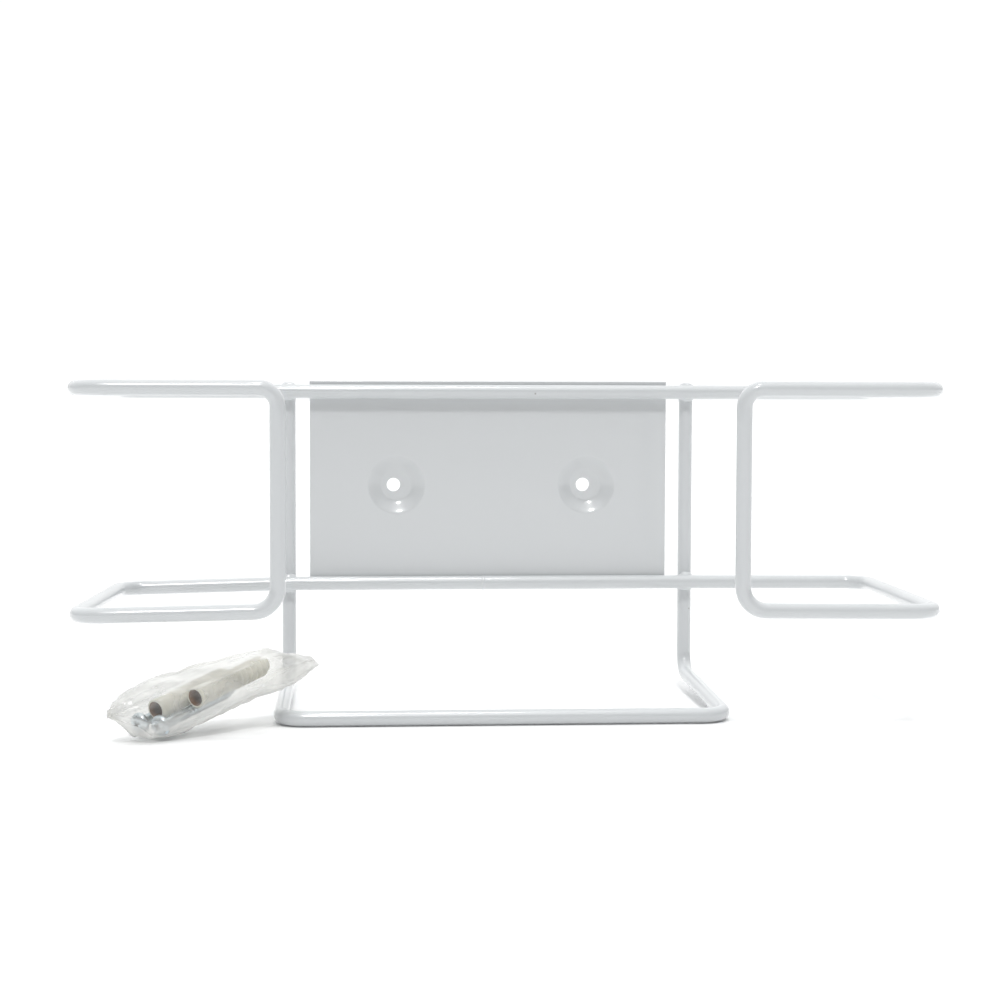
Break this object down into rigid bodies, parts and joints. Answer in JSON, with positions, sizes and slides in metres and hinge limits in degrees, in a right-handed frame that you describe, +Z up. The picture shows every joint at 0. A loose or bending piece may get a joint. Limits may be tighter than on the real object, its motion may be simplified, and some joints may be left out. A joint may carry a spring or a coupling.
{
  "type": "wall-mounted wire box holder",
  "caption": "White coated wire wall bracket: an open-fronted basket ring over a cradle on a dimpled screw plate, with its bag of plugs and screws.",
  "frame": {"origin": "on the wall, midway between the two screw holes", "axes": "+X to the object's right as seen from the room, +Y into the wall, +Z up"},
  "size_m": [0.3198, 0.1355, 0.1305],
  "materials": {
    "coated_wire": "gloss white powder coat",
    "coated_sheet": "gloss white powder coat",
    "coated_weld": "gloss white powder coat over weld",
    "nylon": "moulded nylon",
    "zinc_steel": "bright zinc plate",
    "bag_film": "clear crumpled film"
  },
  "bodies": {
    "bracket": {"basket_wire": "coated_wire", "basket_butt_weld": "coated_weld", "cradle_wire": "coated_wire", "cross_welds": "coated_weld", "back_plate": "coated_sheet", "plate_welds": "coated_weld"},
    "fixing_kit": {"wall_plug_front": "nylon", "wall_plug_rear": "nylon", "screw_front": "zinc_steel", "screw_rear": "zinc_steel", "bag_top_film": "bag_film", "bag_base_film": "bag_film"}
  },
  "joints": [
    {"name": "kit_removal", "type": "slide", "parent": "bracket", "child": "fixing_kit", "axis": [-1, 0, 0], "range_m": [0, 0.08]}
  ]
}
